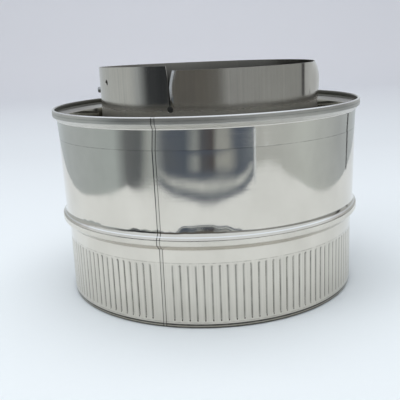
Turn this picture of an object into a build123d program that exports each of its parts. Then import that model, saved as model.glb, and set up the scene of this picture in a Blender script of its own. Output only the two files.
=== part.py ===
from build123d import *
import math
import os

# Double-wall flue adapter: a rolled and welded steel casing round a thin steel flue,
# with mineral wool between them held by two closing rings. It stands on its fluted end.
# Millimetres, +Z up, origin at the middle of the casing's foot, weld seam towards -Y.
# An azimuth is measured from -Y towards +X, in degrees.

# Nominal sizes and sheet
flue_radius = 65.0               # inside of the flue
casing_radius = 90.0             # outside of the casing's barrel at the crease below its mouth
sheet = 0.5                      # all the steel is of this thickness
slip = 0.3                       # gap between a piece and the wall it slides along
seat = 0.05                      # gap under a head that is pulled tight

# Casing, zone by zone from the foot up
foot_hem_height = 3.5
flute_height = 32.0
plain_band_height = 7.5
bead_step_height = 2.6
bead_face_height = 2.5
bead_ledge_height = 3.4
barrel_height = 43.2             # from the bead up to the crease
mouth_height = 10.5              # from the crease up to the rim
rim_flare_height = 2.4
rim_face_height = 3.9

# Casing radii, as distances from the barrel's
spigot_inset = 2.0
bead_proud = 1.4
barrel_taper = 0.8
mouth_flare = 0.4
rim_proud = 2.8
bend_inside = 0.4                # inside radius of the casing's sharp bends
bend_open = 1.5                  # inside radius of its open bends
hem_inside = 0.3                 # inside radius of the rim's rolled edge
hem_leg = 1.8                    # straight part of the edge that is turned down inside

# Flutes pressed into the spigot
flute_count = 134
flute_depth = 0.45
flute_width = 1.4
flute_fade = 2.0                 # length over which a flute's end runs out
ridge_inset = 0.05               # the ridges lie this far inside the plain band

# Weld seam of the casing, planished a little below the sheet, and flush below the bead
seam_azimuth = -17.0
weld_width = 1.7
weld_depth = 0.12

# Flue and its slit collar, which stands out of the casing's mouth
flue_shift = 2.4                 # the flue sits this far to +X of the casing's axis
flue_foot = 2.0                  # height of its lower edge
collar_proud = 21.85             # height of its upper edge over the rim, at the back
collar_mismatch = 2.3            # step between the two ends of the rolled sheet at the slit
collar_plain_depth = 8.0         # this far below the rim and lower the flue is a true cylinder
collar_swell = 0.15              # the collar is this much wider than the plain flue
collar_azimuth = -18.5
slit_width = 0.8
slit_open_height = 11.5          # height over the rim from which the slit opens out
slit_mouth_right = 2.7           # distance of its two ends from the slit's middle at the top
slit_mouth_left = 1.3
relief_radius = 1.7
relief_height = 0.6              # height of the relief hole over the rim
collar_hole_radius = 1.7
collar_hole_azimuth = -61.5
collar_hole_height = 14.4

# Bent side of the collar: it bellies out at half height and leans in at the top
bent_azimuth = 90.0
bent_half_width = 65.0
belly = 1.2
lean = 3.2
curve_points = 48                # points on the collar's curve, all round

# Rivet left in the collar
rivet_azimuth = -92.0
rivet_height = 8.8
rivet_radius = 1.6
rivet_tail_radius = 1.8
rivet_tail_length = 2.8
rivet_head_radius = 3.2
rivet_head_height = 1.1
rivet_rounding = 0.9

# Closing rings and wool
upper_ring_depth = 16.8          # below the rim, at the crease
lower_ring_height = 8.0          # above the foot
ring_flange = 4.0

# Heights and radii that follow from these
flute_z = foot_hem_height
band_z = flute_z + flute_height
step_z = band_z + plain_band_height
bead_z = step_z + bead_step_height
ledge_z = bead_z + bead_face_height
barrel_z = ledge_z + bead_ledge_height
crease_z = barrel_z + barrel_height
rim_z = crease_z + mouth_height
rim_face_z = rim_z + rim_flare_height
top_z = rim_face_z + rim_face_height

spigot_radius = casing_radius - spigot_inset
bead_radius = casing_radius + bead_proud
barrel_foot_radius = casing_radius - barrel_taper
rim_radius = casing_radius + rim_proud
ridge_radius = spigot_radius - ridge_inset
flue_outside = flue_radius + sheet
collar_inside = flue_radius + collar_swell
collar_outside = flue_outside + collar_swell
upper_ring_z = top_z - upper_ring_depth
spigot_inside = ridge_radius - sheet - flute_depth
flue_axis = Pos(flue_shift, 0, 0)


def rod(radius, low, high):
    """Plain cylinder round the Z axis."""
    return Pos(0, 0, (low + high) / 2) * Cylinder(radius, high - low)


def tube(outer, inner, low, high):
    """Plain tube round the Z axis."""
    return rod(outer, low, high) - rod(inner, low, high)


def on_wall(azimuth, radius, height):
    """Frame on an upright wall round the Z axis, with its own Z axis pointing outwards."""
    return Rot(0, 0, azimuth) * Pos(0, -radius, height) * Rot(90, 0, 0)


def barrel_inside(z):
    """Inner radius of the casing's tapered barrel at a height."""
    share = (z - barrel_z) / barrel_height
    return barrel_foot_radius + (casing_radius - barrel_foot_radius) * share - sheet


def casing_line():
    """Outer line of the casing's sheet from the top of the flutes up and round the rim."""
    tight = bend_inside + sheet
    wide = bend_open + sheet
    hem = hem_inside + sheet
    corners = [
        (spigot_radius, band_z),
        (spigot_radius, step_z),
        (bead_radius, bead_z),
        (bead_radius, ledge_z),
        (barrel_foot_radius, barrel_z),
        (casing_radius, crease_z),
        (casing_radius + mouth_flare, rim_z),
        (rim_radius, rim_face_z),
        (rim_radius, top_z - hem),
    ]
    wall = FilletPolyline(*corners, radius=[tight, tight, tight, wide, wide, tight, tight])
    edge = CenterArc((rim_radius - hem, top_z - hem), hem, 0, 180)
    leg = Line(edge @ 1, edge @ 1 - Vector(0, hem_leg))
    return Wire([*wall.edges(), edge.edge(), leg.edge()])


def casing_layer(thickness):
    """Section of the layer of that thickness under the casing's outer line."""
    outline = offset(casing_line(), thickness, side=Side.LEFT)
    return Plane.XZ * make_face(outline.edges())


def flute_ring(radius, depth):
    """Polygon round the spigot with a shallow V at each flute, left out where the seam runs."""
    pitch = 360 / flute_count
    half = math.degrees(flute_width / 2 / ridge_radius)
    points = []
    for k in range(flute_count):
        centre = k * pitch
        from_seam = (centre - seam_azimuth + 180) % 360 - 180
        bottom = radius if abs(from_seam) < pitch else radius - depth
        for angle, r in ((centre - half, radius), (centre, bottom), (centre + half, radius)):
            turn = math.radians(angle)
            points.append((r * math.sin(turn), -r * math.cos(turn)))
    return make_face(Polyline(*points, close=True))


def fluted_solid(radius):
    """Solid whose side is the fluted wall; the flutes run out at both ends."""
    levels = [
        (flute_z, 0),
        (flute_z + flute_fade, flute_depth),
        (band_z - flute_fade, flute_depth),
        (band_z, 0),
    ]
    return loft([Pos(0, 0, z) * flute_ring(radius, depth) for z, depth in levels], ruled=True)


def outer_casing():
    upper = revolve(casing_layer(sheet), Axis.Z)
    fluted = fluted_solid(ridge_radius) - fluted_solid(ridge_radius - sheet)
    hem = tube(spigot_radius, spigot_radius - sheet, 0, flute_z)
    arc = math.degrees(weld_width / casing_radius)
    weld = revolve(casing_layer(weld_depth), Axis.Z, revolution_arc=arc)
    weld -= rod(rim_radius, band_z, bead_z)
    return upper + [fluted, hem] - Rot(0, 0, seam_azimuth - 90 - arc / 2) * weld


def bent_ring(radius, swing):
    """Closed curve round the flue's axis, moved outwards by swing on the bent side."""
    if swing == 0:
        return make_face(Circle(radius).edges())
    points = []
    for step in range(curve_points):
        away = step * 360 / curve_points
        share = math.cos(min(away, 360 - away, bent_half_width) / bent_half_width * math.pi / 2) ** 2
        turn = math.radians(away)
        points.append(((radius + swing * share) * math.cos(turn), (radius + swing * share) * math.sin(turn)))
    return make_face(Spline(*points, periodic=True))


def collar_solid(radius):
    """Collar's form out to a radius, from the plain flue up past its top edge."""
    base = top_z - collar_plain_depth
    reach = collar_proud + collar_mismatch
    levels = [
        (base, 0),
        (top_z - collar_plain_depth / 2, 0),
        (top_z + reach / 2, belly),
        (top_z + reach, -lean),
    ]
    turned = Rot(0, 0, bent_azimuth - 90)
    return turned * loft([Pos(0, 0, z) * bent_ring(radius, swing) for z, swing in levels])


def above_collar(side):
    """Space over one half of the collar, whose edge climbs towards the back or the slit."""
    span = 2 * casing_radius
    tilt = math.degrees(math.atan(collar_mismatch / 4 / collar_outside))
    height = top_z + collar_proud - side * collar_mismatch / 4
    block = Box(span, 2 * span, span, align=(Align.CENTER, Align.CENTER, Align.MIN))
    return Rot(0, 0, collar_azimuth) * Pos(side * span / 2, 0, height) * Rot(side * tilt, 0, 0) * block


def collar_slit():
    """Narrow slot up from the relief hole, whose two sides curve apart towards the top."""
    half = slit_width / 2
    low = top_z + relief_height
    opening = top_z + slit_open_height
    high = top_z + collar_proud + collar_mismatch / 2
    turn = (opening + high) / 2
    right = Bezier((half, opening), (half, turn), (slit_mouth_right, high))
    left = Bezier((-slit_mouth_left, high), (-half, turn), (-half, opening))
    foot = Polyline((-half, opening), (-half, low), (half, low), (half, opening))
    outline = make_face([*foot.edges(), right.edge(), Line(right @ 1, left @ 0).edge(), left.edge()])
    return Rot(0, 0, collar_azimuth) * extrude(Plane.XZ * outline, 2 * flue_radius)


def wall_hole(azimuth, height, radius):
    """Drill through the flue's wall."""
    drill = Cylinder(radius, flue_radius / 2)
    return on_wall(azimuth, flue_radius, top_z + height) * drill


def inner_flue():
    base = top_z - collar_plain_depth
    plain = tube(flue_outside, flue_radius, flue_foot, base)
    collar = collar_solid(collar_outside) - collar_solid(collar_inside) - collar_slit()
    cuts = [
        above_collar(1),
        above_collar(-1),
        wall_hole(collar_azimuth, relief_height, relief_radius),
        wall_hole(collar_hole_azimuth, collar_hole_height, collar_hole_radius),
        wall_hole(rivet_azimuth, rivet_height, rivet_radius + seat),
    ]
    return flue_axis * (plain + (collar - cuts))


def collar_rivet():
    """Blind rivet: flat head inside the collar, rounded tail outside."""
    head_seat = math.sqrt(collar_inside**2 - rivet_head_radius**2) - seat
    tail_seat = collar_outside + seat
    upright = (Align.CENTER, Align.CENTER, Align.MIN)
    head = Cylinder(rivet_head_radius, rivet_head_height, align=upright)
    head = fillet(head.edges().group_by(Axis.Z)[0], rivet_rounding)
    tail = Cylinder(rivet_tail_radius, rivet_tail_length, align=upright)
    tail = fillet(tail.edges().group_by(Axis.Z)[-1], rivet_rounding)
    shank = Cylinder(rivet_radius, tail_seat - head_seat, align=upright)
    rivet = Pos(0, 0, head_seat - rivet_head_height) * head
    rivet += [Pos(0, 0, head_seat) * shank, Pos(0, 0, tail_seat) * tail]
    return flue_axis * on_wall(rivet_azimuth, 0, top_z + rivet_height) * rivet


def closing_ring(outer, plate_z, flange_end):
    """Flat ring between casing and flue, with a flange along each wall."""
    inner = flue_outside + slip
    plate = rod(outer, plate_z, plate_z + sheet)
    low, high = sorted((plate_z + sheet / 2, flange_end))
    outer_flange = tube(outer, outer - sheet, low, high)
    inner_flange = flue_axis * tube(inner + sheet, inner, low, high)
    bore = flue_axis * rod(inner, plate_z, plate_z + sheet)
    return plate - bore + [outer_flange, inner_flange]


def upper_closing_ring():
    flange_end = upper_ring_z - sheet - ring_flange
    return closing_ring(barrel_inside(flange_end) - slip, upper_ring_z - sheet, flange_end)


def lower_closing_ring():
    return closing_ring(spigot_inside - slip, lower_ring_height, lower_ring_height + sheet + ring_flange)


def insulation_sleeve():
    """Mineral wool between the rings, clear of their flanges."""
    low = lower_ring_height + sheet
    high = upper_ring_z - sheet
    room = sheet + 2 * slip
    outline = Polyline(
        (0, low),
        (spigot_inside - room, low),
        (spigot_inside - room, barrel_z),
        (barrel_inside(high) - room, high),
        (0, high),
        close=True,
    )
    block = revolve(Plane.XZ * make_face(outline), Axis.Z)
    return block - flue_axis * rod(flue_outside + room, low, high)


parts = {
    "outer_casing": outer_casing(),
    "inner_flue": inner_flue(),
    "insulation_sleeve": insulation_sleeve(),
    "upper_closing_ring": upper_closing_ring(),
    "lower_closing_ring": lower_closing_ring(),
    "collar_rivet": collar_rivet(),
}

os.makedirs("parts", exist_ok=True)
for name, solid in parts.items():
    solid.label = name
    export_step(solid, f"parts/{name}.step")
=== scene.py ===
import bisect
import math

import bpy
from mathutils import Matrix, Vector


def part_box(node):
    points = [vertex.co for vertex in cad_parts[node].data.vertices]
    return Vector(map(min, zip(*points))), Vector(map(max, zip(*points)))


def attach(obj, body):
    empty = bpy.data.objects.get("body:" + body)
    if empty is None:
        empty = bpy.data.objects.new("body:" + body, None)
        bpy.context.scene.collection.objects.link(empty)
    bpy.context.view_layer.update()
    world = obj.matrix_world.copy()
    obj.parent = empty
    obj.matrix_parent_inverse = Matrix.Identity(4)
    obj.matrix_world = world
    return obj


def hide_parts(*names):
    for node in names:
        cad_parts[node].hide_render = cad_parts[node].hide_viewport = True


# Double-wall flue adapter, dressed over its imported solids.
# Sizes below are in millimetres, as in the part's source; MM turns them into metres.
# An azimuth is measured from -Y towards +X, in degrees.
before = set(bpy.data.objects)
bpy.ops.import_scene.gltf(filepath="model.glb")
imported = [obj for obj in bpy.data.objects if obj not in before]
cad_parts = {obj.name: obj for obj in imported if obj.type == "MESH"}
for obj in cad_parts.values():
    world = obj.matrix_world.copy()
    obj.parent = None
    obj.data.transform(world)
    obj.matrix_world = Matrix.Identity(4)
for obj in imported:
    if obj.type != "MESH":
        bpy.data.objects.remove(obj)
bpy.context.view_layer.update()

MM = 0.001
TINY = 1e-6
SHARP_ANGLE = 40.0               # edges bent more than this are shaded sharp, in degrees

# Casing: heights of its zones from the foot up, and radii
FLUTE_Z = 3.5
BAND_Z = 35.5
STEP_Z = 43.0
BEAD_Z = 46.2
LEDGE_Z = 49.2
BARREL_Z = 51.5
CREASE_Z = 94.7
RIM_Z = 105.2
RIM_FACE_Z = 107.6
TOP_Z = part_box("outer_casing")[1].z / MM
RIM_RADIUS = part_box("outer_casing")[1].x / MM
SPIGOT_RADIUS = RIM_RADIUS - 4.8
BEAD_RADIUS = RIM_RADIUS - 1.4
BARREL_FOOT_RADIUS = RIM_RADIUS - 3.6
CREASE_RADIUS = RIM_RADIUS - 2.8
MOUTH_RADIUS = RIM_RADIUS - 2.4
SHEET = 0.5
TIGHT_BEND = 0.9
OPEN_BEND = 2.0
BEAD_BEND = 1.3
BARREL_BEND = 3.5                # where the barrel flares out to the bead
HEM_BEND = 0.8
HEM_LEG = 1.8
FOOT_ROLL = 1.0                  # radius of the foot's edge, which is turned in a little
CASING_SIDES = ((0.0, 6, 8, 6), (SHEET, 2, 3, 2))   # inset; steps in a flute's fade, its run, a bend

# Flutes and weld seam of the casing
FLUTE_COUNT = 134
FLUTE_DEPTH = 0.45
FLUTE_HALF_SHARE = 0.25          # half a flute's width, as a share of the pitch
FLUTE_FADE = 2.0
FLUTE_COLUMNS = (0, 0.06, 0.12, 0.18, 0.25, 0.5, 0.75, 0.82, 0.88, 0.94)
PLAIN_COLUMNS = (0, 0.5)         # the ones of these that run on up the barrel
RIDGE_INSET = 0.05
RIDGE_FADE = 1.0
SEAM_AZIMUTH = -17.0
SEAM_LEAN = 0.85                 # the seam leans to the right by this much at the rim, in degrees
SEAM_LEAN_Z = 100.0              # from this height up
WELD_HALF = 0.54                 # half the weld's width, in degrees
WELD_DEPTH = 0.12
WELD_FLANK = (0.88, 1.08)        # where its flank falls, as shares of that half
WELD_COLUMNS = (0, 0.3, 0.55, 0.8, 1.0, 1.2, 1.45)   # as such shares too
WELD_CLEAR = 1.1                 # other columns keep off by this many times the last of these
WELD_LINE = 0.42                 # half the width of the dark line along each edge, as such a share

# Flue and its slit collar
FLUE_SHIFT = 2.4
FLUE_FOOT = 2.0
FLUE_RADIUS = 65.0
COLLAR_SWELL = 0.15
SWELL_RUN = 0.3
COLLAR_Z = TOP_Z - 8.0
COLLAR_PROUD = 21.85
COLLAR_MISMATCH = 2.3
COLLAR_AZIMUTH = -18.5
SLIT_HALF = 0.4
SLIT_MOUTHS = (2.7, 1.3)         # how far its two ends draw back from the middle at the top edge
MOUTH_CURVE = 1.6                # power of the curve on which they do
SLIT_OPEN_Z = TOP_Z + 11.5       # from here up it opens out
SLIT_LIP = 0.7                   # its right end is bent out by this much
SLIT_LIP_WIDTH = 1.5
RELIEF_RADIUS = 1.7
RELIEF_Z = TOP_Z + 0.6
RELIEF_FOOT = RELIEF_Z - RELIEF_RADIUS
HOLES = ((-61.5, 14.4, 1.7), (-92.0, 8.8, 1.65))   # azimuth, height over the rim, radius
HOLE_WINDOW = 3.0                # half the side of the patch round a hole
BENT_AZIMUTH = 90.0
BENT_HALF_WIDTH = 65.0
BENT_CREASE = 63.0               # on the near side the bend starts sharply here
BENT_RUN = 17.0
BENT_Z = TOP_Z - 4.0
BELLY = 1.2
LEAN = 3.2
FLUE_COLUMNS = 260
SLIT_COLUMNS = 3                 # the columns next to the slit's near end
SLIT_FINER = 4                   # are this much finer
TUBE_LEVELS = (25.0, 50.0, 75.0, 95.0)   # heights of its rows inside the casing
COLLAR_DROPS = (6.0, 4.0, 2.0)   # and of those near the rim, below it
RELIEF_ROWS = 10
UPPER_ROWS = 18


def on_ring(azimuth, radius, z, shift=0.0):
    """Point at an azimuth in degrees round the Z axis, or the flue's axis where shifted."""
    turn = math.radians(azimuth)
    return Vector((shift + radius * math.sin(turn), -radius * math.cos(turn), z)) * MM


def apart(azimuth, other):
    """How far an azimuth lies past another one, from -180 to 180 degrees."""
    return (azimuth - other + 180) % 360 - 180


def smooth_step(low, high, value):
    share = min(max((value - low) / (high - low), 0.0), 1.0)
    return share * share * (3 - 2 * share)


def finish_mesh(name, points, faces, **marks):
    """Mesh object from points and faces, with named numbers stored at its points."""
    mesh = bpy.data.meshes.new(name)
    mesh.from_pydata(points, [], faces)
    for mark, values in marks.items():
        mesh.attributes.new(mark, "FLOAT", "POINT").data.foreach_set("value", values)
    mesh.validate()
    mesh.update()
    mesh.shade_smooth()
    mesh.set_sharp_from_angle(angle=math.radians(SHARP_ANGLE))
    piece = bpy.data.objects.new(name, mesh)
    bpy.context.scene.collection.objects.link(piece)
    return piece


# Casing

def rounded_line(corners, bends, steps):
    """Points (r, z) of a line with rounded corners, each with its outward normal."""
    line = []
    heading = (Vector(corners[1]) - Vector(corners[0])).normalized()
    line.append((Vector(corners[0]), Vector((heading.y, -heading.x))))
    for index, bend in enumerate(bends, start=1):
        before, corner, after = (Vector(c) for c in corners[index - 1:index + 2])
        way_in = (corner - before).normalized()
        way_out = (after - corner).normalized()
        turn = math.atan2(way_in.x * way_out.y - way_in.y * way_out.x, way_in.dot(way_out))
        side = math.copysign(1.0, turn)
        start = corner - way_in * bend * math.tan(abs(turn) / 2)
        centre = start + side * bend * Vector((-way_in.y, way_in.x))
        for step in range(steps + 1):
            angle = turn * step / steps
            way = Matrix.Rotation(angle, 2) @ way_in
            line.append((centre - side * bend * Vector((-way.y, way.x)), Vector((way.y, -way.x))))
    heading = (Vector(corners[-1]) - Vector(corners[-2])).normalized()
    line.append((Vector(corners[-1]), Vector((heading.y, -heading.x))))
    return line


def casing_line(steps):
    """Outer line of the casing from the plain band up, round the rolled rim and down its leg."""
    hem_z = TOP_Z - HEM_BEND
    corners = [
        (SPIGOT_RADIUS, BAND_Z),
        (SPIGOT_RADIUS, STEP_Z),
        (BEAD_RADIUS, BEAD_Z),
        (BEAD_RADIUS, LEDGE_Z),
        (BARREL_FOOT_RADIUS, BARREL_Z),
        (CREASE_RADIUS, CREASE_Z),
        (MOUTH_RADIUS, RIM_Z),
        (RIM_RADIUS, RIM_FACE_Z),
        (RIM_RADIUS, hem_z),
    ]
    bends = (TIGHT_BEND, BEAD_BEND, BEAD_BEND, BARREL_BEND, OPEN_BEND, TIGHT_BEND, TIGHT_BEND)
    line = rounded_line(corners, bends, steps)
    for step in range(1, 2 * steps + 1):
        angle = math.pi * step / (2 * steps)
        normal = Vector((math.cos(angle), math.sin(angle)))
        line.append((Vector((RIM_RADIUS - HEM_BEND, hem_z)) + normal * HEM_BEND, normal))
    line.append((line[-1][0] - Vector((0, HEM_LEG)), Vector((-1, 0))))
    return line


def flute_rows(fade_steps, plain_steps):
    """Heights of the rows below the plain band, each with its share of the flutes' depth."""
    fade = [step / fade_steps for step in range(fade_steps + 1)]
    plain = [step / plain_steps for step in range(1, plain_steps)]
    rows = [(FOOT_ROLL * (1 - math.cos(share * math.pi / 2)), 0.0) for share in fade]
    rows += [(FLUTE_Z - FLUTE_FADE / 2, 0.0)]
    rows += [(FLUTE_Z + FLUTE_FADE * share, smooth_step(0, 1, share)) for share in fade]
    rise = BAND_Z - FLUTE_Z - 2 * FLUTE_FADE
    rows += [(FLUTE_Z + FLUTE_FADE + rise * share, 1.0) for share in plain]
    rows += [(BAND_Z - FLUTE_FADE * (1 - share), smooth_step(0, 1, 1 - share)) for share in fade]
    return rows


def flute_press(azimuth):
    """How far the flutes are pressed in at an azimuth, from 0 on a ridge to 1 in a groove."""
    pitch = 360 / FLUTE_COUNT
    nearest = round(azimuth / pitch) * pitch
    if abs(apart(nearest, SEAM_AZIMUTH)) < pitch:
        return 0.0
    away = abs(azimuth - nearest) / pitch
    return 0.5 + 0.5 * math.cos(math.pi * min(away / FLUTE_HALF_SHARE, 1.0))


def from_weld(azimuth):
    """Distance of an azimuth from the weld's middle, in halves of its width."""
    return abs(apart(azimuth, SEAM_AZIMUTH)) / WELD_HALF


def weld_share(azimuth):
    """1 on the weld and 0 beside it."""
    return 1.0 - smooth_step(*WELD_FLANK, from_weld(azimuth))


def weld_line_share(azimuth):
    """1 on the weld's two edges, falling to 0 beside them."""
    return max(0.0, 1.0 - abs(from_weld(azimuth) - 1.0) / WELD_LINE)


def casing_columns(shares):
    """Azimuths of the casing's columns: some in each flute's pitch, and finer ones at the weld."""
    pitch = 360 / FLUTE_COUNT
    columns = [(k + share) * pitch for k in range(FLUTE_COUNT) for share in shares]
    columns = [a for a in columns if from_weld(a) > WELD_CLEAR * WELD_COLUMNS[-1]]
    middle = SEAM_AZIMUTH % 360
    weld = {middle + side * share * WELD_HALF for share in WELD_COLUMNS for side in (-1, 1)}
    return sorted(columns + list(weld))


def casing_piece():
    points, faces = [], []
    marks = {"press": [], "weld": [], "weld_line": [], "inside": []}
    fine = casing_columns(FLUTE_COLUMNS)
    coarse = casing_columns(PLAIN_COLUMNS)
    fine_press = [flute_press(a) for a in fine]

    def add_point(point, azimuth, pressed, outside):
        points.append(point)
        marks["press"].append(pressed)
        marks["weld"].append(weld_share(azimuth) if outside else 0.0)
        marks["weld_line"].append(weld_line_share(azimuth) if outside else 0.0)
        marks["inside"].append(0.0 if outside else 1.0)
        return len(points) - 1

    def add_fluted_row(z, depth, inset):
        ridge = SPIGOT_RADIUS - inset
        if z < BAND_Z:
            ridge -= RIDGE_INSET * smooth_step(FLUTE_Z - RIDGE_FADE, FLUTE_Z + RIDGE_FADE, z)
        ridge -= FOOT_ROLL - math.sqrt(FOOT_ROLL ** 2 - max(FOOT_ROLL - z, 0.0) ** 2)
        row = []
        for azimuth, share in zip(fine, fine_press):
            pressed = depth * share
            point = on_ring(azimuth, ridge - FLUTE_DEPTH * pressed, z)
            row.append(add_point(point, azimuth, pressed, inset == 0))
        return row

    def add_plain_row(spot, normal, inset):
        lean = SEAM_LEAN * smooth_step(SEAM_LEAN_Z, RIM_FACE_Z, spot.y)
        row = []
        for azimuth in coarse:
            sunk = weld_share(azimuth) * WELD_DEPTH if inset == 0 else 0.0
            place = spot - normal * (inset + sunk)
            point = on_ring(azimuth + lean, place.x, place.y)
            row.append(add_point(point, azimuth, 0.0, inset == 0))
        return row

    def join(below, above, outside):
        count = len(below)
        for n in range(count):
            face = (below[n], below[(n + 1) % count], above[(n + 1) % count], above[n])
            faces.append(face if outside else face[::-1])

    def join_fine_to_coarse(below, above, outside):
        """Faces with all the flutes' columns on their lower side."""
        starts = [bisect.bisect_left(fine, a - TINY) for a in coarse]
        for n, start in enumerate(starts):
            end = starts[(n + 1) % len(starts)]
            low = below[start:end + 1] if end > start else below[start:] + below[:end + 1]
            face = low + [above[(n + 1) % len(above)], above[n]]
            faces.append(face if outside else face[::-1])

    edges = []
    for inset, fade_steps, plain_steps, bend_steps in CASING_SIDES:
        outside = inset == 0
        lower = [add_fluted_row(z, depth, inset) for z, depth in flute_rows(fade_steps, plain_steps)]
        upper = [add_plain_row(spot, normal, inset) for spot, normal in casing_line(bend_steps)[1:]]
        join_fine_to_coarse(lower[-1], upper[0], outside)
        for rows in (lower, upper):
            for below, above in zip(rows, rows[1:]):
                join(below, above, outside)
        edges.append((lower[0], upper[-1]))
    (outer_foot, outer_leg), (inner_foot, inner_leg) = edges
    join(outer_foot, inner_foot, False)
    join(outer_leg, inner_leg, True)
    return finish_mesh("casing", points, faces, **marks)


# Flue

def collar_swing(azimuth, z):
    """How far the bent side of the collar is moved outwards at a place."""
    if z <= BENT_Z:
        return 0.0
    away = abs(apart(azimuth, BENT_AZIMUTH))
    share = math.cos(min(away / BENT_HALF_WIDTH, 1.0) * math.pi / 2) ** 2
    past_crease = min(max((azimuth % 360 - BENT_CREASE) / BENT_RUN, 0.0), 1.0)
    share *= math.sin(past_crease * math.pi / 2)
    reach = COLLAR_PROUD + COLLAR_MISMATCH
    levels = ((COLLAR_Z, 0.0), (BENT_Z, 0.0), (TOP_Z + reach / 2, BELLY), (TOP_Z + reach, -LEAN))
    swing = 0.0
    for own_z, own in levels:
        term = own
        for other_z, _ in levels:
            if other_z != own_z:
                term *= (z - other_z) / (own_z - other_z)
        swing += term
    return share * swing


def slit_edge(z, mouth):
    """How far one end of the sheet stands from the slit's middle: relief hole, then a curved mouth."""
    hole = math.sqrt(max(RELIEF_RADIUS ** 2 - (z - RELIEF_Z) ** 2, 0.0))
    climb = max(z - SLIT_OPEN_Z, 0.0) / (TOP_Z + COLLAR_PROUD - SLIT_OPEN_Z)
    wedge = SLIT_HALF + (mouth - SLIT_HALF) * climb ** MOUTH_CURVE if z > RELIEF_Z else 0.0
    return max(hole, wedge)


def slit_lip(azimuth, z):
    """Share of the bent-out lip at a place, 1 along the slit's right end and 0 away from it."""
    along = math.radians((azimuth - COLLAR_AZIMUTH) % 360) * FLUE_RADIUS
    beyond = max(along - slit_edge(z, SLIT_MOUTHS[0]), 0.0) / SLIT_LIP_WIDTH
    return smooth_step(RELIEF_Z, SLIT_OPEN_Z, z) * math.exp(-beyond ** 2)


def flue_point(azimuth, z, inset):
    swell = COLLAR_SWELL * smooth_step(COLLAR_Z - SWELL_RUN, COLLAR_Z + SWELL_RUN, z)
    radius = FLUE_RADIUS + SHEET + swell - inset + collar_swing(azimuth, z)
    return on_ring(azimuth, radius + SLIT_LIP * slit_lip(azimuth, z), z, FLUE_SHIFT)


def collar_top(azimuth):
    """Height of the collar's edge: it climbs round from the slit's low end to its high end."""
    turn = math.radians(azimuth - COLLAR_AZIMUTH)
    side = 1.0 if math.sin(turn) >= 0 else -1.0
    return TOP_Z + COLLAR_PROUD - side * COLLAR_MISMATCH / 4 * (1 + math.cos(turn))


def flue_shares():
    """Where the flue's columns are, as shares of the way round from the slit's right end to its left."""
    even = [n / FLUE_COLUMNS for n in range(FLUE_COLUMNS + 1)]
    steps = range(1, SLIT_COLUMNS * SLIT_FINER)
    return sorted(even + [n / FLUE_COLUMNS / SLIT_FINER for n in steps if n % SLIT_FINER])


def flue_spot(share, level, climb):
    """Azimuth and height at a share of the way round, climbed from a level towards the top edge."""
    even = COLLAR_AZIMUTH + 360 * min(max(share, TINY), 1 - TINY)
    z = level + (collar_top(even) - level) * climb
    start, end = (math.degrees(slit_edge(z, mouth) / FLUE_RADIUS) for mouth in SLIT_MOUTHS)
    return COLLAR_AZIMUTH + start + (360 - start - end) * share, z


def flue_spots(shares):
    """Rows of places on the flue: level ones up to the relief hole's top, then up to the top edge."""
    levels = [FLUE_FOOT, *TUBE_LEVELS, COLLAR_Z - SWELL_RUN, COLLAR_Z, COLLAR_Z + SWELL_RUN]
    levels += [TOP_Z - drop for drop in COLLAR_DROPS]
    turns = [math.pi * n / RELIEF_ROWS for n in range(RELIEF_ROWS)]
    levels += [RELIEF_Z - RELIEF_RADIUS * math.cos(turn) for turn in turns]
    rows = [(level, 0.0) for level in levels]
    rows += [(levels[-1], n / UPPER_ROWS) for n in range(1, UPPER_ROWS + 1)]
    return [[flue_spot(share, level, climb) for share in shares] for level, climb in rows]


def hole_window(shares, spots, azimuth, z):
    """Patch round a hole: its lowest and highest row, its first and last column."""
    half = math.degrees(HOLE_WINDOW / FLUE_RADIUS) / 360
    share = ((azimuth - COLLAR_AZIMUTH) % 360) / 360
    first = bisect.bisect_left(shares, share - half) - 1
    last = bisect.bisect_right(shares, share + half)
    heights = [row[(first + last) // 2][1] for row in spots]
    low = bisect.bisect_left(heights, z - HOLE_WINDOW) - 1
    high = min(bisect.bisect_right(heights, z + HOLE_WINDOW), len(spots) - 1)
    return low, high, first, last


def hole_spot(spot, azimuth, z, radius):
    """Place on a hole's edge that lies on the way to a place on its patch's border."""
    spot_azimuth, spot_z = spot
    across = math.radians(apart(spot_azimuth, azimuth)) * FLUE_RADIUS
    angle = math.atan2(spot_z - z, across)
    turn = math.degrees(radius * math.cos(angle) / FLUE_RADIUS)
    return azimuth + turn, z + radius * math.sin(angle)


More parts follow.
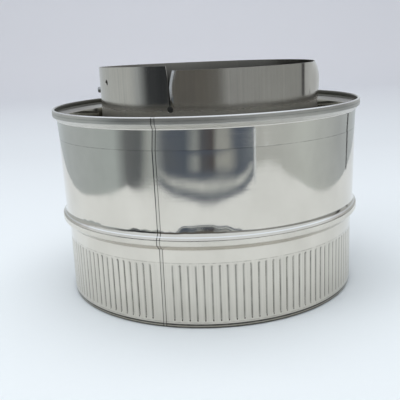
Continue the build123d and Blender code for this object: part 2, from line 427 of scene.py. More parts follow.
def flue_piece():
    points, faces = [], []
    marks = {"outside": [], "lip": []}
    shares = flue_shares()
    spots = flue_spots(shares)
    windows = [hole_window(shares, spots, azimuth, TOP_Z + height) for azimuth, height, _ in HOLES]

    def add_point(azimuth, z, inset, lip):
        points.append(flue_point(azimuth, z, inset))
        marks["outside"].append(1.0 if inset == 0 else 0.0)
        marks["lip"].append(lip)
        return len(points) - 1

    def add_row(row, inset):
        """Points of one row. Below the slit it closes: its end is its start."""
        closed = row[0][1] <= RELIEF_FOOT + TINY
        own = row[:-1] if closed else row
        line = [add_point(azimuth, z, inset, slit_lip(azimuth, z)) for azimuth, z in own]
        return line + line[:1] if closed else line

    def quad(corners, outwards):
        """Face with up to four corners, since repeated ones are left out."""
        corners = [c for n, c in enumerate(corners) if c not in corners[:n]]
        if len(corners) > 2:
            faces.append(corners if outwards else corners[::-1])

    def strip(first, second, outwards):
        """Faces between two lines of points."""
        for n in range(len(first) - 1):
            quad([first[n], first[n + 1], second[n + 1], second[n]], outwards)

    def in_window(row, column):
        return any(low <= row < high and first <= column < last for low, high, first, last in windows)

    sides = []
    for inset in (0.0, SHEET):
        grid = [add_row(row, inset) for row in spots]
        for row, (below, above) in enumerate(zip(grid, grid[1:])):
            for column in range(len(shares) - 1):
                if not in_window(row, column):
                    after = column + 1
                    quad([below[column], below[after], above[after], above[column]], inset == 0)
        sides.append((inset, grid))

    for (azimuth, height, radius), (low, high, first, last) in zip(HOLES, windows):
        border = [(low, c) for c in range(first, last)] + [(r, last) for r in range(low, high)]
        border += [(high, c) for c in range(last, first, -1)] + [(r, first) for r in range(high, low, -1)]
        edge = [hole_spot(spots[row][column], azimuth, TOP_Z + height, radius) for row, column in border]
        border.append(border[0])
        loops = []
        for inset, grid in sides:
            loop = [add_point(turn, z, inset, 0.0) for turn, z in edge]
            loop.append(loop[0])
            strip([grid[row][column] for row, column in border], loop, inset == 0)
            loops.append(loop)
        strip(*loops, True)

    outer, inner = (grid for _, grid in sides)
    strip(outer[-1], inner[-1], True)
    strip(outer[0], inner[0], False)
    first_open = next(n for n, line in enumerate(outer) if line[0] != line[-1])
    for end, outwards in ((0, True), (-1, False)):
        ends = ([line[end] for line in grid[first_open - 1:]] for grid in (outer, inner))
        strip(*ends, outwards)
    return finish_mesh("flue", points, faces, **marks)


casing = casing_piece()
flue = flue_piece()
for piece, node, slot in ((casing, "outer_casing", "casing_steel"), (flue, "inner_flue", "flue_steel")):
    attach(piece, "root")
    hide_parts(node)


# Materials: colours
STEEL = (0.735, 0.69, 0.615, 1)
DULL_STEEL = (0.65, 0.61, 0.54, 1)
SHADED_STEEL = (0.22, 0.21, 0.17, 1)
# streaky painted shade over the fluted band
FLUTE_BAND_SHADE = (0.46, 0.44, 0.39, 1)
# painted shade in the flutes' grooves
GROOVE_SHADE = (0.36, 0.345, 0.31, 1)
RIM_STEEL = (0.50, 0.49, 0.46, 1)
# painted shade in fine lines round the rim
RIM_GROOVE_SHADE = (0.24, 0.235, 0.22, 1)
HEM_SHADE = (0.08, 0.078, 0.06, 1)
# paler painted shade in the middle of the foot's band
FOOT_PALER_SHADE = (0.25, 0.235, 0.17, 1)
WELD_STEEL = (0.42, 0.40, 0.36, 1)
# painted highlight, on the upright fold, the bead, the rim's top and the slit's lip
PAINTED_HIGHLIGHT = (0.92, 0.91, 0.89, 1)
# grime, and painted shade in the grooves and along the crease
GRIME_AND_SHADE = (0.15, 0.14, 0.12, 1)
# dark weld edges, and painted shade at the grooves' upper ends and at the foot
DARK_GRIME_AND_SHADE = (0.035, 0.033, 0.03, 1)
STREAK = (0.50, 0.485, 0.45, 1)
FLUE_SHADE = (0.34, 0.335, 0.30, 1)
# painted shade deep inside the flue
FLUE_DEEP_SHADE = (0.10, 0.098, 0.088, 1)
# closing rings, darkened as painted shade
RING_SHADED_DARK = (0.24, 0.23, 0.20, 1)
RING_SHADED_PALE = (0.36, 0.345, 0.30, 1)
WOOL_DARK = (0.30, 0.26, 0.17, 1)
WOOL_PALE = (0.58, 0.53, 0.38, 1)
RIVET_DARK = (0.30, 0.30, 0.30, 1)
RIVET_PALE = (0.52, 0.52, 0.51, 1)
BLACK = (0, 0, 0, 1)

# Noises on the wall laid flat: waves per millimetre round it and up it, detail, roughness
WALL_RADIUS = 90.0
ROLLING_LINES = (0.02, 2.5, 4.0, 0.6)
SMUDGES = (0.045, 0.035, 5.0, 0.55)
SPECKS = (0.5, 0.5, 2.0, 0.5)
BUCKLES = (0.022, 0.009, 1.0, 0.45)
RIPPLES = (0.06, 0.03, 0.0, 0.5)
UNEVENNESS = (0.09, 0.0, 1.0, 0.5)
PATCHES = (0.25, 0.08, 4.0, 0.6)
FLUTE_STREAKS = (0.9, 0.015, 3.0, 0.6)
COLLAR_STREAKS = (0.45, 0.008, 3.0, 0.6)

# Spans of a noise or a mark over which something comes up
WIDE = (0.3, 0.7)
MIDDLE = (0.35, 0.65)
NARROW = (0.4, 0.6)
SMUDGE_SPAN = (0.35, 0.75)
PATCH_SPAN = (0.35, 0.68)
GROOVE_SPAN = (0.1, 0.9)
GROOVE_FLOOR = (0.45, 0.95)
GROOVE_FLANK = (0.05, 0.3)
WELD_SPAN = (0.15, 0.8)
FALLING = (1.0, 0.0)

# Bands of the casing and the flue: lowest and highest height, and blur
FLUTED = (FLUTE_Z, BAND_Z, 1.0)
GROOVE_ENDS = (BAND_Z - 1.5, BAND_Z - 0.2, 0.4)
FLUTE_RINGS = ((BAND_Z + 0.25, BAND_Z + 0.65, 0.1), (FLUTE_Z - 0.5, FLUTE_Z - 0.1, 0.15))
CREASE_SHADE_LINE = (CREASE_Z - 0.2, CREASE_Z + 0.2, 0.15)
FOOT_SHADE_RINGS = ((-1.0, 1.05, 0.2), (1.5, 2.5, 0.2))
FOOT_SHADE_GAP = (0.9, 1.5, 0.2)
MOUTH = (RIM_Z - 0.8, RIM_FACE_Z, 0.3)
RIM = (RIM_Z, TOP_Z - 0.5, 0.2)
RIM_GROOVES = ((RIM_FACE_Z - 0.1, RIM_FACE_Z + 0.3, 0.2), (TOP_Z - 2.3, TOP_Z - 1.9, 0.2))
HEM = (RIM_FACE_Z + 0.6, TOP_Z, 0.2)
BEAD = (STEP_Z, BARREL_Z - 0.6, 0.4)
BARREL = (BARREL_Z, RIM_Z - 1.0, 0.8)
HIGHLIGHT_RINGS = ((LEDGE_Z + 1.0, LEDGE_Z + 1.45, 0.2), (TOP_Z - 0.45, TOP_Z + 0.3, 0.15))
FLUE_BETWEEN = (FLUE_FOOT, TOP_Z - 3.0, 2.0)
FLUE_DULLED = (FLUE_FOOT, TOP_Z + 1.0, 4.0)
FLUE_DEEP_SHADE_SPAN = ((TOP_Z + 8.0) * MM, (TOP_Z + COLLAR_PROUD) * MM)
HEM_INSIDE = (RIM_RADIUS - 1.0, 0.2)     # radius and blur
HIGHLIGHT_INSIDE = (RIM_RADIUS - 4.2, 0.2)

# Relief, in millimetres, and gloss of the bright sheet
CASING_WAVE = 0.60
FLUE_WAVE = 0.22
RIPPLE_SHARE = 0.30
SPECK_HEIGHT = 0.002
LINE_HEIGHT = 0.0015
CASING_GLOSS = 0.045
FLUE_GLOSS = 0.08
SMUDGE_DULL = 0.05
LINE_DULL = (-0.01, 0.02)
RIM_DULL = 0.24
BEAD_DULL = 0.14
FOLD_DULL = 0.5
FLUE_DULL = 0.25
LIP_DULL = (0.0, 0.45)
UPRIGHT_FOLD = (15.0, 2.5, 0.16, 74.0)   # azimuth, width in degrees, height, where it starts
SEAM_FOLD = (SEAM_AZIMUTH, 6.0, 0.30, 46.0)
FOLD_RUN = 14.0
FOLD_HIGHLIGHT = 0.22                 # width of the bright line on the upright fold, in degrees
FLARES = ((-3.0, 12.0, 6.5, 0.62), (-46.0, 11.0, 5.0, 0.38), (-24.0, 7.0, 4.5, 0.36))
FLARE_SHARES = (0.4, 1.25)       # they are uneven between these shares of their height

# How much of each stain and shade there is
FLUTE_BAND_SHADE_SHARE = (0.0, 0.42)
GROOVE_SHADE_SHARE = (0.0, 0.6)
GROOVE_PATCHES = (0.25, 0.85)
GROOVE_END_SHADE_SHARE = (0.0, 0.75)
RING_SHARE = (0.0, 0.6)
CREASE_SHADE_SHARE = (0.0, 0.5)
FOOT_SHADE_SHARE = (1.0, 0.85)
FOOT_SHADE_GAP_SHARE = 0.6
INSIDE_SHARE = 0.85
MOUTH_LIGHT = 0.5
RIM_SHARE = 0.55
RIM_GROOVE_SHADE_SHARE = (0.3, 0.7)
HEM_SHARE = 0.85
WELD_SHARE = 0.25
WELD_LINE_SHARE = (0.0, 0.88)
FOLD_HIGHLIGHT_SHARE = 0.7
HIGHLIGHT_SHARE = 0.85
STREAK_SHARE = (0.0, 0.34)
FLUE_SHADE_SHARE = 0.75
FLUE_DEEP_SHADE_SHARE = (1.0, 0.25)

# Sockets of a Mix node set to colour
MIX_SHARE, MIX_FIRST, MIX_SECOND, MIX_RESULT = 0, 6, 7, 2


class Shader:
    """Small helper that adds nodes to one material and links them."""

    def __init__(self, name):
        self.material = bpy.data.materials.new(name)
        self.material.use_nodes = True
        self.tree = self.material.node_tree
        self.surface = self.tree.nodes["Principled BSDF"]

    def set(self, **inputs):
        """Numbers, colours or sockets for the surface."""
        for key, value in inputs.items():
            self.feed(self.surface.inputs[key.replace("_", " ")], value)

    def node(self, kind, **inputs):
        made = self.tree.nodes.new(kind)
        for key, value in inputs.items():
            self.feed(made.inputs[key.replace("_", " ")], value)
        return made

    def feed(self, socket, value):
        if isinstance(value, bpy.types.NodeSocket):
            self.tree.links.new(value, socket)
        else:
            socket.default_value = value

    def math(self, operation, *values):
        made = self.tree.nodes.new("ShaderNodeMath")
        made.operation = operation
        for socket, value in zip(made.inputs, values):
            self.feed(socket, value)
        return made.outputs[0]

    def times(self, first, *others):
        for other in others:
            first = self.math("MULTIPLY", first, other)
        return first

    def plus(self, first, second):
        return self.math("ADD", first, second)

    def rest(self, share):
        """What a share leaves of 1."""
        return self.math("SUBTRACT", 1.0, share)

    def spread(self, value, span, shares=(0.0, 1.0)):
        """Goes from one share to another while the value crosses a span."""
        made = self.node("ShaderNodeMapRange", Value=value)
        for key, number in zip(("From Min", "From Max", "To Min", "To Max"), (*span, *shares)):
            made.inputs[key].default_value = number
        return made.outputs[0]

    def mix(self, share, first, second):
        made = self.tree.nodes.new("ShaderNodeMix")
        made.data_type = "RGBA"
        self.feed(made.inputs[MIX_SHARE], share)
        self.feed(made.inputs[MIX_FIRST], first)
        self.feed(made.inputs[MIX_SECOND], second)
        return made.outputs[MIX_RESULT]

    def noise(self, vector, scale, detail=3.0, roughness=0.5):
        made = self.node("ShaderNodeTexNoise", Vector=vector, Scale=scale, Detail=detail)
        made.inputs["Roughness"].default_value = roughness
        return made.outputs["Fac"]

    def wall_noise(self, along, up, detail, roughness):
        """Noise on the wall laid flat."""
        spot = self.spot()
        flat = self.node("ShaderNodeCombineXYZ", X=self.times(self.turn(spot), WALL_RADIUS * along),
                         Y=self.times(spot["Z"], up / MM))
        return self.noise(flat.outputs[0], 1.0, detail, roughness)

    def place(self):
        return self.node("ShaderNodeTexCoord").outputs["Object"]

    def spot(self):
        return self.node("ShaderNodeSeparateXYZ", Vector=self.place()).outputs

    def turn(self, spot):
        """Azimuth of a spot, in radians."""
        return self.math("ARCTAN2", spot["X"], self.times(spot["Y"], -1.0))

    def flare(self, azimuth, half, rise):
        """Uneven dent at the barrel's foot: deepest at the bead, falling away upwards and sideways."""
        spot = self.spot()
        away = self.math("SUBTRACT", self.turn(spot), math.radians(azimuth))
        away = self.math("DIVIDE", away, math.radians(half))
        side = self.math("EXPONENT", self.times(away, away, -1.0))
        up = self.spread(spot["Z"], (BARREL_Z * MM, (BARREL_Z + rise) * MM), FALLING)
        uneven = self.spread(self.wall_noise(*UNEVENNESS), WIDE, FLARE_SHARES)
        return self.times(uneven, side, up, up)

    def fold(self, azimuth, width, start):
        """Upright ridge at an azimuth that falls away to both sides, from a height upwards."""
        spot = self.spot()
        away = self.math("ABSOLUTE", self.math("SUBTRACT", self.turn(spot), math.radians(azimuth)))
        peak = self.math("EXPONENT", self.times(away, -1 / math.radians(width)))
        return self.times(peak, self.spread(spot["Z"], (start * MM, (start + FOLD_RUN) * MM)))

    def band(self, low, high, blur):
        """1 between two heights in millimetres and 0 outside them, over a soft edge."""
        z = self.spot()["Z"]
        rise = self.spread(z, ((low - blur) * MM, (low + blur) * MM))
        return self.times(rise, self.spread(z, ((high - blur) * MM, (high + blur) * MM), FALLING))

    def inward(self, radius, blur):
        """1 nearer to the axis than a radius in millimetres and 0 beyond it, over a soft edge."""
        spot = self.spot()
        square = self.plus(self.times(spot["X"], spot["X"]), self.times(spot["Y"], spot["Y"]))
        span = ((radius - blur) * MM, (radius + blur) * MM)
        return self.spread(self.math("SQRT", square), span, FALLING)

    def mark(self, name):
        made = self.node("ShaderNodeAttribute")
        made.attribute_name = name
        return made.outputs["Fac"]

    def bumps(self, *layers):
        """Bump layers, each a height with its size in millimetres, one over the other."""
        normal = None
        for height, size in layers:
            made = self.node("ShaderNodeBump", Height=height, Distance=size * MM)
            if normal is not None:
                self.feed(made.inputs["Normal"], normal)
            normal = made.outputs["Normal"]
        self.set(Normal=normal)


def bright_sheet(name, gloss, wave, folds=(), flares=()):
    """Bright rolled stainless sheet: buckled a little, with rolling lines, smudges and specks.

    A fold is (azimuth, width in degrees, height in millimetres, height on the wall where it starts),
    a flare is (azimuth, half its width in degrees, rise and height in millimetres).
    Gives the shader, its colour and its roughness.
    """
    s = Shader(name)
    lines = s.wall_noise(*ROLLING_LINES)
    smudges = s.wall_noise(*SMUDGES)
    colour = s.mix(s.spread(smudges, SMUDGE_SPAN), STEEL, DULL_STEEL)
    dull = s.spread(smudges, SMUDGE_SPAN, (gloss, gloss + SMUDGE_DULL))
    dull = s.plus(dull, s.spread(lines, WIDE, LINE_DULL))
    layers = [
        (s.wall_noise(*BUCKLES), wave),
        (s.wall_noise(*RIPPLES), RIPPLE_SHARE * wave),
        (s.wall_noise(*SPECKS), SPECK_HEIGHT),
        (lines, LINE_HEIGHT),
    ]
    layers += [(s.fold(azimuth, width, start), height) for azimuth, width, height, start in folds]
    layers += [(s.flare(azimuth, half, rise), height) for azimuth, half, rise, height in flares]
    s.bumps(*layers)
    s.set(Metallic=1.0)
    return s, colour, dull


def flute_shade_and_grime(s, colour, patches):
    """Streaks of painted shade round the flutes, painted shade and grime in their grooves, and painted
    shade at the grooves' upper ends.
    """
    press = s.mark("press")
    # Streaks of painted shade over the fluted band
    streaks = s.spread(s.wall_noise(*FLUTE_STREAKS), WIDE, FLUTE_BAND_SHADE_SHARE)
    colour = s.mix(s.times(s.band(*FLUTED), streaks), colour, FLUTE_BAND_SHADE)
    # Painted shade in the grooves
    colour = s.mix(s.spread(press, GROOVE_SPAN, GROOVE_SHADE_SHARE), colour, GROOVE_SHADE)
    # Grime and painted shade, in patches along the grooves' floors
    lines = s.times(s.spread(press, GROOVE_FLOOR), s.spread(patches, PATCH_SPAN, GROOVE_PATCHES))
    colour = s.mix(lines, colour, GRIME_AND_SHADE)
    # Painted shade at the grooves' upper ends
    ends = s.times(s.spread(press, GROOVE_FLANK, GROOVE_END_SHADE_SHARE), s.band(*GROOVE_ENDS))
    return s.mix(s.times(ends, s.spread(patches, NARROW)), colour, DARK_GRIME_AND_SHADE)


def ring_grime_and_shade(s, colour, patches):
    """Lines right round: grime at both ends of the flutes, painted shade along the crease and a band of
    painted shade at the foot.
    """
    rings = s.plus(*(s.band(*ring) for ring in FLUTE_RINGS))
    colour = s.mix(s.times(rings, s.spread(patches, MIDDLE, RING_SHARE)), colour, GRIME_AND_SHADE)
    # Painted shade along the crease
    crease = s.times(s.band(*CREASE_SHADE_LINE), s.spread(patches, WIDE, CREASE_SHADE_SHARE))
    colour = s.mix(crease, colour, GRIME_AND_SHADE)
    # Band of painted shade at the foot, paler in its middle
    foot = s.plus(*(s.band(*ring) for ring in FOOT_SHADE_RINGS))
    colour = s.mix(s.times(foot, s.spread(patches, WIDE, FOOT_SHADE_SHARE)), colour, DARK_GRIME_AND_SHADE)
    return s.mix(s.times(s.band(*FOOT_SHADE_GAP), FOOT_SHADE_GAP_SHARE), colour, FOOT_PALER_SHADE)


def casing_metal():
    """Bright sheet with grime and painted shade, a duller rim, painted shade inside and on the hem, a
    dark-edged weld and painted highlights.
    """
    folds = (UPRIGHT_FOLD, SEAM_FOLD)
    s, colour, dull = bright_sheet("casing_steel", CASING_GLOSS, CASING_WAVE, folds, FLARES)
    patches = s.wall_noise(*PATCHES)
    colour = flute_shade_and_grime(s, colour, patches)
    colour = ring_grime_and_shade(s, colour, patches)

    # Painted shade inside, less of it at the mouth; the rim, painted shade in lines round it and on the
    # hem
    shaded = s.rest(s.times(s.band(*MOUTH), MOUTH_LIGHT))
    colour = s.mix(s.times(s.mark("inside"), shaded, INSIDE_SHARE), colour, SHADED_STEEL)
    rim = s.band(*RIM)
    colour = s.mix(s.times(rim, RIM_SHARE), colour, RIM_STEEL)
    # Painted shade in fine lines round the rim
    grooves = s.plus(*(s.band(*groove) for groove in RIM_GROOVES))
    colour = s.mix(s.times(grooves, s.spread(patches, WIDE, RIM_GROOVE_SHADE_SHARE)), colour, RIM_GROOVE_SHADE)
    hem = s.times(s.inward(*HEM_INSIDE), s.band(*HEM))
    colour = s.mix(s.times(hem, HEM_SHARE), colour, HEM_SHADE)

    # Weld, and painted highlights on the upright fold, the bead and the rim's top
    colour = s.mix(s.times(s.mark("weld"), WELD_SHARE), colour, WELD_STEEL)
    colour = s.mix(s.spread(s.mark("weld_line"), WELD_SPAN, WELD_LINE_SHARE), colour, DARK_GRIME_AND_SHADE)
    # Painted highlight along the upright fold
    azimuth, _, _, start = UPRIGHT_FOLD
    edge = s.times(s.fold(azimuth, FOLD_HIGHLIGHT, start), s.band(*BARREL))
    colour = s.mix(s.times(edge, FOLD_HIGHLIGHT_SHARE), colour, PAINTED_HIGHLIGHT)
    # Painted highlights round the bead's ledge and the rim's top
    painted_shine = s.plus(*(s.band(*ring) for ring in HIGHLIGHT_RINGS))
    painted_shine = s.times(painted_shine, s.rest(s.inward(*HIGHLIGHT_INSIDE)), s.rest(hem), HIGHLIGHT_SHARE)
    colour = s.mix(painted_shine, colour, PAINTED_HIGHLIGHT)

    for area, amount in ((rim, RIM_DULL), (edge, FOLD_DULL), (s.band(*BEAD), BEAD_DULL)):
        dull = s.plus(dull, s.times(area, amount))
    s.set(Base_Color=colour, Roughness=dull)
    return s.material


def flue_metal():
    """Bright sheet with painted shade between the walls and deep inside, and a painted highlight on the
    lip at the slit.
    """
    s, colour, dull = bright_sheet("flue_steel", FLUE_GLOSS, FLUE_WAVE)
    outside, lip = s.mark("outside"), s.mark("lip")
    inner = s.rest(outside)
    streaks = s.spread(s.wall_noise(*COLLAR_STREAKS), MIDDLE, STREAK_SHARE)
    colour = s.mix(streaks, colour, STREAK)
    # Painted shade between the walls
    between = s.times(outside, s.band(*FLUE_BETWEEN), FLUE_SHADE_SHARE)
    colour = s.mix(between, colour, FLUE_SHADE)
    # Painted shade inside the flue, darkest deep down and fading towards the collar's top
    deep = s.spread(s.spot()["Z"], FLUE_DEEP_SHADE_SPAN, FLUE_DEEP_SHADE_SHARE)
    colour = s.mix(s.times(inner, deep), colour, FLUE_DEEP_SHADE)
    # Painted highlight on the bent-out lip at the slit
    colour = s.mix(s.spread(lip, WIDE), colour, PAINTED_HIGHLIGHT)
    dull = s.plus(dull, s.spread(lip, WIDE, LIP_DULL))
    for area in (s.times(outside, s.band(*FLUE_DULLED)), inner):
        dull = s.plus(dull, s.times(area, FLUE_DULL))
    s.set(Base_Color=colour, Roughness=dull)
    return s.material


casing.data.materials.append(casing_metal())
flue.data.materials.append(flue_metal())

# Rings, wool and rivet: sizes of their noises, relief in millimetres, roughness
RING_MOTTLE = 160.0
RING_CLOUD = (60.0, 4.0)
RING_RELIEF = (0.05, 0.01)
RING_SPAN = (0.0, 0.8)
RING_DULL = (0.28, 0.42)
WOOL_MAT = (90.0, 6.0, 0.65)
WOOL_FIBRE = {"Scale": 120.0, "Distortion": 14.0, "Detail": 4.0}
WOOL_RELIEF = (1.2, 0.4)
WOOL_DULL = 0.95
RIVET_WEAR = (700.0, 4.0)
RIVET_RELIEF = 0.03
RIVET_SPAN = (0.2, 0.8)
RIVET_DULL = (0.3, 0.5)


def ring_metal():
    """Satin stainless sheet of the closing rings, darkened as painted shade and with a faint mottle."""
    s = Shader("ring_steel")
    mottle = s.node("ShaderNodeTexVoronoi", Vector=s.place(), Scale=RING_MOTTLE).outputs["Distance"]
    cloud = s.noise(s.place(), *RING_CLOUD)
    s.set(Base_Color=s.mix(cloud, RING_SHADED_DARK, RING_SHADED_PALE), Metallic=1.0)
    s.set(Roughness=s.spread(mottle, RING_SPAN, RING_DULL))
    s.bumps(*zip((cloud, mottle), RING_RELIEF))
    return s.material


def wool():
    """Mineral wool: matted fibres, yellow-grey."""
    s = Shader("mineral_wool")
    mat = s.noise(s.place(), *WOOL_MAT)
    fibre = s.node("ShaderNodeTexWave", Vector=s.place(), **WOOL_FIBRE).outputs["Fac"]
    s.set(Base_Color=s.mix(mat, WOOL_DARK, WOOL_PALE), Roughness=WOOL_DULL)
    s.bumps(*zip((mat, fibre), WOOL_RELIEF))
    return s.material


def rivet_metal():
    """Dull dark steel of the rivet, paler where it is worn."""
    s = Shader("rivet_steel")
    wear = s.noise(s.place(), *RIVET_WEAR)
    s.set(Base_Color=s.mix(wear, RIVET_DARK, RIVET_PALE), Metallic=1.0)
    s.set(Roughness=s.spread(wear, RIVET_SPAN, RIVET_DULL))
    s.bumps((wear, RIVET_RELIEF))
    return s.material


ring_steel = ring_metal()
for node, material in (
    ("upper_closing_ring", ring_steel),
    ("lower_closing_ring", ring_steel),
    ("insulation_sleeve", wool()),
    ("collar_rivet", rivet_metal()),
):
    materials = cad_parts[node].data.materials
    materials.clear()
    materials.append(material)


# Stage: pale floor that sweeps up behind. Sizes from here on are in metres

FLOOR_COLOUR = (0.80, 0.855, 0.895, 1)
GRAIN_COLOUR = (*(0.985 * part for part in FLOOR_COLOUR[:3]), 1)
# painted shade in the floor's middle and painted light at its back
MIDDLE_SHADE_COLOUR = (0.725, 0.765, 0.805, 1)
BACK_LIGHT_COLOUR = (0.86, 0.875, 0.93, 1)
BACKDROP = (0.60, 0.625, 0.67, 1)     # what lies beyond the floor, out of the photo's view
GRAIN_SCALE = 300.0
MIDDLE_SPAN = (0.0, 0.5)         # going back, the floor's colour changes over these
BACK_SPAN = (0.6, 2.0)
FADE_ASIDE = (1.2, 3.0)          # over these it goes over into the backdrop
FADE_FRONT = (-1.2, -3.0)
PAPER_DULL = 0.9
PAPER_SPECULAR = 0.1
FLOOR_HALF = 12.0
SWEEP_Y = 1.6
SWEEP_BEND = 0.9
SWEEP_STEPS = 16
SWEEP_TOP = 2.4


def floor_piece():
    line = [Vector((0, -FLOOR_HALF, 0)), Vector((0, SWEEP_Y, 0))]
    for step in range(1, SWEEP_STEPS + 1):
        angle = math.pi / 2 * step / SWEEP_STEPS
        bend = Vector((0, math.sin(angle), 1 - math.cos(angle))) * SWEEP_BEND
        line.append(Vector((0, SWEEP_Y, 0)) + bend)
    line.append(line[-1] + Vector((0, 0, SWEEP_TOP)))
    points = [p + Vector((side * FLOOR_HALF, 0, 0)) for p in line for side in (-1, 1)]
    faces = [(2 * n, 2 * n + 1, 2 * n + 3, 2 * n + 2) for n in range(len(line) - 1)]
    return finish_mesh("floor", points, faces)


def paper():
    s = Shader("floor_paper")
    spot = s.spot()
    shade = s.mix(s.noise(s.place(), GRAIN_SCALE), FLOOR_COLOUR, GRAIN_COLOUR)
    # Painted shade going back to the middle, then painted light towards the back
    shade = s.mix(s.spread(spot["Y"], MIDDLE_SPAN), shade, MIDDLE_SHADE_COLOUR)
    shade = s.mix(s.spread(spot["Y"], BACK_SPAN), shade, BACK_LIGHT_COLOUR)
    aside = s.spread(s.math("ABSOLUTE", spot["X"]), FADE_ASIDE)
    far = s.math("MAXIMUM", aside, s.spread(spot["Y"], FADE_FRONT))
    s.set(Base_Color=s.mix(far, shade, BLACK), Emission_Color=BACKDROP, Emission_Strength=far)
    s.set(Roughness=PAPER_DULL, Specular_IOR_Level=PAPER_SPECULAR)
    return s.material


floor = floor_piece()
floor.data.materials.append(paper())


# Room beyond the paper, seen only in the metal: a dark floor, walls of several greys, a post

PAPER_FRONT = -0.365
PAPER_BACK = 1.3
PAPER_CORNERS = (0.13, 0.05)     # cut off at its front left and front right
PAPER_SIDE = 0.36
ROOM_RADIUS = 0.95
ROOM_HEIGHT = 0.36
ROOM_LIFT = 0.0005
ROOM_REACH = 3 * ROOM_RADIUS     # its floor goes on to here
WALL_FACES = 96
EDGE_SPAN = 0.24                 # strips along the paper's front edge reach this far out
EDGE_SIDES = (0.156, 0.26)       # and fade over these to each side
POST_FOOT = Vector((0.355, 0.2, 0.0))
POST_HALF = Vector((0.0050, -0.0056, 0.0))
POST_HEIGHT = Vector((0, 0, 0.09))
POST_GREYS = ((-180, (0.03, 0.03, 0.033)), (180, (0.04, 0.04, 0.043)))   # azimuth, colour
FLOOR_GREYS = (
    (-180, (0.58, 0.64, 0.68)),
    (-110, (0.46, 0.52, 0.56)),
    (-66, (0.43, 0.50, 0.53)),
    (-56, (0.16, 0.18, 0.20)),
    (-47, (0.13, 0.15, 0.17)),
    (-41, (0.40, 0.45, 0.47)),
    (-32, (0.36, 0.41, 0.44)),
    (-25, (0.12, 0.14, 0.17)),
    (-14, (0.10, 0.125, 0.165)),
    (-8, (0.33, 0.37, 0.39)),
    (-4, (0.10, 0.11, 0.13)),
    (3, (0.09, 0.085, 0.09)),
    (7, (0.36, 0.39, 0.40)),
    (14, (0.40, 0.43, 0.43)),
    (20, (0.11, 0.135, 0.175)),
    (27, (0.20, 0.24, 0.29)),
    (34, (0.50, 0.54, 0.56)),
    (70, (0.56, 0.62, 0.64)),
    (110, (0.44, 0.49, 0.53)),
    (180, (0.58, 0.64, 0.68)),
)
WALL_GREYS = (
    (-180, (0.66, 0.70, 0.74)),
    (-150, (0.50, 0.54, 0.57)),
    (-120, (0.48, 0.52, 0.54)),
    (-84, (0.48, 0.52, 0.54)),
    (-74, (0.36, 0.40, 0.43)),
    (-62, (0.05, 0.056, 0.064)),
    (-42, (0.028, 0.032, 0.037)),
    (-35, (0.115, 0.115, 0.112)),
    (-5, (0.125, 0.125, 0.12)),
    (9, (0.15, 0.155, 0.155)),
    (18, (0.30, 0.32, 0.335)),
    (70, (0.30, 0.32, 0.33)),
    (106, (0.30, 0.32, 0.33)),
    (108.5, (0.04, 0.04, 0.045)),
    (111.5, (0.04, 0.04, 0.045)),
    (114, (0.44, 0.47, 0.49)),
    (180, (0.66, 0.70, 0.74)),
)
DARK_BLUE = (0.09, 0.115, 0.165, 1)
NO_STRIP = (*DARK_BLUE[:3], 0)
PALE_STRIP = (0.66, 0.72, 0.74, 1)
EDGE_STRIPS = (                  # share of EDGE_SPAN, colour
    (0.0, DARK_BLUE),
    (0.10, DARK_BLUE),
    (0.14, PALE_STRIP),
    (0.22, PALE_STRIP),
    (0.26, DARK_BLUE),
    (0.36, DARK_BLUE),
    (0.42, NO_STRIP),
    (0.70, NO_STRIP),
    (0.76, DARK_BLUE),
    (0.90, DARK_BLUE),
    (1.0, NO_STRIP),
)


def ramp(s, share, stops):
    """Colours between stops. A new ramp has two stops already."""
    made = s.node("ShaderNodeValToRGB", Fac=share)
    elements = made.color_ramp.elements
    for n, (at, colour) in enumerate(stops):
        stop = elements[n] if n < 2 else elements.new(at)
        stop.position = at
        stop.color = colour
    return made.outputs


def room_shade(name, greys, strips=()):
    """Glow in greys set by the azimuth round the object, with strips along the paper's edge."""
    s = Shader(name)
    spot = s.spot()
    turn = s.spread(s.turn(spot), (-math.pi, math.pi))
    shade = ramp(s, turn, [(azimuth / 360 + 0.5, (*grey, 1)) for azimuth, grey in greys])["Color"]
    if strips:
        out = s.math("DIVIDE", s.math("SUBTRACT", PAPER_FRONT, spot["Y"]), EDGE_SPAN)
        strip = ramp(s, out, strips)
        inside = s.spread(s.math("ABSOLUTE", spot["X"]), EDGE_SIDES, FALLING)
        shade = s.mix(s.times(inside, strip["Alpha"]), shade, strip["Color"])
    glow = s.node("ShaderNodeEmission", Color=shade, Strength=1.0)
    s.tree.links.new(glow.outputs[0], s.tree.nodes["Material Output"].inputs["Surface"])
    return s.material


def ring_faces(count):
    """Faces between two closed lines of points, one stored after the other."""
    return [(n, (n + 1) % count, count + (n + 1) % count, count + n) for n in range(count)]


def room_floor():
    """Floor beyond the paper: a ring of faces from the paper's outline out to the walls."""
    left, right = PAPER_CORNERS
    outline = [
        (-PAPER_SIDE, PAPER_FRONT + left),
        (left - PAPER_SIDE, PAPER_FRONT),
        (PAPER_SIDE - right, PAPER_FRONT),
        (PAPER_SIDE, PAPER_FRONT + right),
        (PAPER_SIDE, PAPER_BACK),
        (-PAPER_SIDE, PAPER_BACK),
    ]
    far = [Vector(spot).normalized() * ROOM_REACH for spot in outline]
    points = [Vector((x, y, ROOM_LIFT)) for x, y in far + outline]
    return finish_mesh("room_floor", points, ring_faces(len(outline)))


def room_wall():
    turns = [2 * math.pi * n / WALL_FACES for n in range(WALL_FACES)]
    line = [Vector((math.sin(turn), -math.cos(turn), 0)) * ROOM_RADIUS for turn in turns]
    points = line + [spot + Vector((0, 0, ROOM_HEIGHT)) for spot in line]
    return finish_mesh("room_wall", points, ring_faces(WALL_FACES))


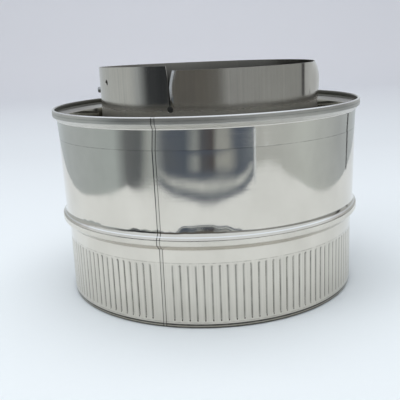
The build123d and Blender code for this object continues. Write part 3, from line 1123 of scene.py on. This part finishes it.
def dark_post():
    """Thin dark upright behind the part, which the casing's right side shows as a line."""
    foot = [POST_FOOT - POST_HALF, POST_FOOT + POST_HALF]
    points = foot + [spot + POST_HEIGHT for spot in reversed(foot)]
    return finish_mesh("dark_post", points, [(0, 1, 2, 3)])


for card, greys, strips in (
    (dark_post(), POST_GREYS, ()),
    (room_floor(), FLOOR_GREYS, EDGE_STRIPS),
    (room_wall(), WALL_GREYS, ()),
):
    card.data.materials.append(room_shade(card.name, greys, strips))
    card.visible_camera = False
    card.visible_diffuse = False
    card.visible_shadow = False
    card.visible_transmission = False
    card.visible_volume_scatter = False


# Light: an even sky, a paler ceiling that only the metal shows, and two soft lamps

SKY = (0.485, 0.4925, 0.50, 1)
CEILING = (0.80, 0.87, 0.95, 1)
LAMPS = (                        # name, place, aim, size, watts
    ("overhead", (0.0, -0.1, 1.7), (0.0, 0.05, 0.0), 1.8, 20.0),
    ("left_fill", (-1.5, -0.6, 1.1), (0.0, 0.0, 0.05), 1.0, 6.0),
)

world = bpy.data.worlds.new("studio")
world.use_nodes = True
bpy.context.scene.world = world
sky_tree = world.node_tree
light_path = sky_tree.nodes.new("ShaderNodeLightPath")
for_metal, for_camera = (sky_tree.nodes.new("ShaderNodeMix") for _ in range(2))
for choice, ray, colour in (
    (for_metal, "Is Glossy Ray", CEILING),
    (for_camera, "Is Camera Ray", BACKDROP),
):
    choice.data_type = "RGBA"
    choice.inputs[MIX_SECOND].default_value = colour
    sky_tree.links.new(light_path.outputs[ray], choice.inputs[MIX_SHARE])
for_metal.inputs[MIX_FIRST].default_value = SKY
sky_tree.links.new(for_metal.outputs[MIX_RESULT], for_camera.inputs[MIX_FIRST])
sky_tree.links.new(for_camera.outputs[MIX_RESULT], sky_tree.nodes["Background"].inputs["Color"])

for name, place, aim, size, watts in LAMPS:
    lamp = bpy.data.lights.new(name, "AREA")
    lamp.shape = "SQUARE"
    lamp.size = size
    lamp.energy = watts
    light = bpy.data.objects.new(name, lamp)
    light.location = place
    light.rotation_euler = (Vector(aim) - Vector(place)).to_track_quat("-Z", "Y").to_euler()
    light.visible_glossy = False
    bpy.context.scene.collection.objects.link(light)


# Camera at the photograph's viewing angle

IMAGE_WIDTH = 400
FOCAL_PIXELS = 625.4
SENSOR = 36.0
CAMERA_PLACE = (0, -0.3901, 0.14274)
YAW, PITCH, ROLL = -0.0149, -0.2380, -0.0426

camera_data = bpy.data.cameras.new("camera")
camera_data.sensor_width = SENSOR
camera_data.lens = FOCAL_PIXELS / IMAGE_WIDTH * SENSOR
camera = bpy.data.objects.new("camera", camera_data)
ahead = Vector((math.sin(YAW) * math.cos(PITCH), math.cos(YAW) * math.cos(PITCH), math.sin(PITCH)))
right = ahead.cross(Vector((0, 0, 1))).normalized()
up = right.cross(ahead)
rolled_right = math.cos(ROLL) * right + math.sin(ROLL) * up
rolled_up = math.cos(ROLL) * up - math.sin(ROLL) * right
turned = Matrix((rolled_right, rolled_up, -ahead)).transposed().to_4x4()
camera.matrix_world = Matrix.Translation(CAMERA_PLACE) @ turned
bpy.context.scene.collection.objects.link(camera)
bpy.context.scene.camera = camera
bpy.context.scene.view_settings.view_transform = "Standard"
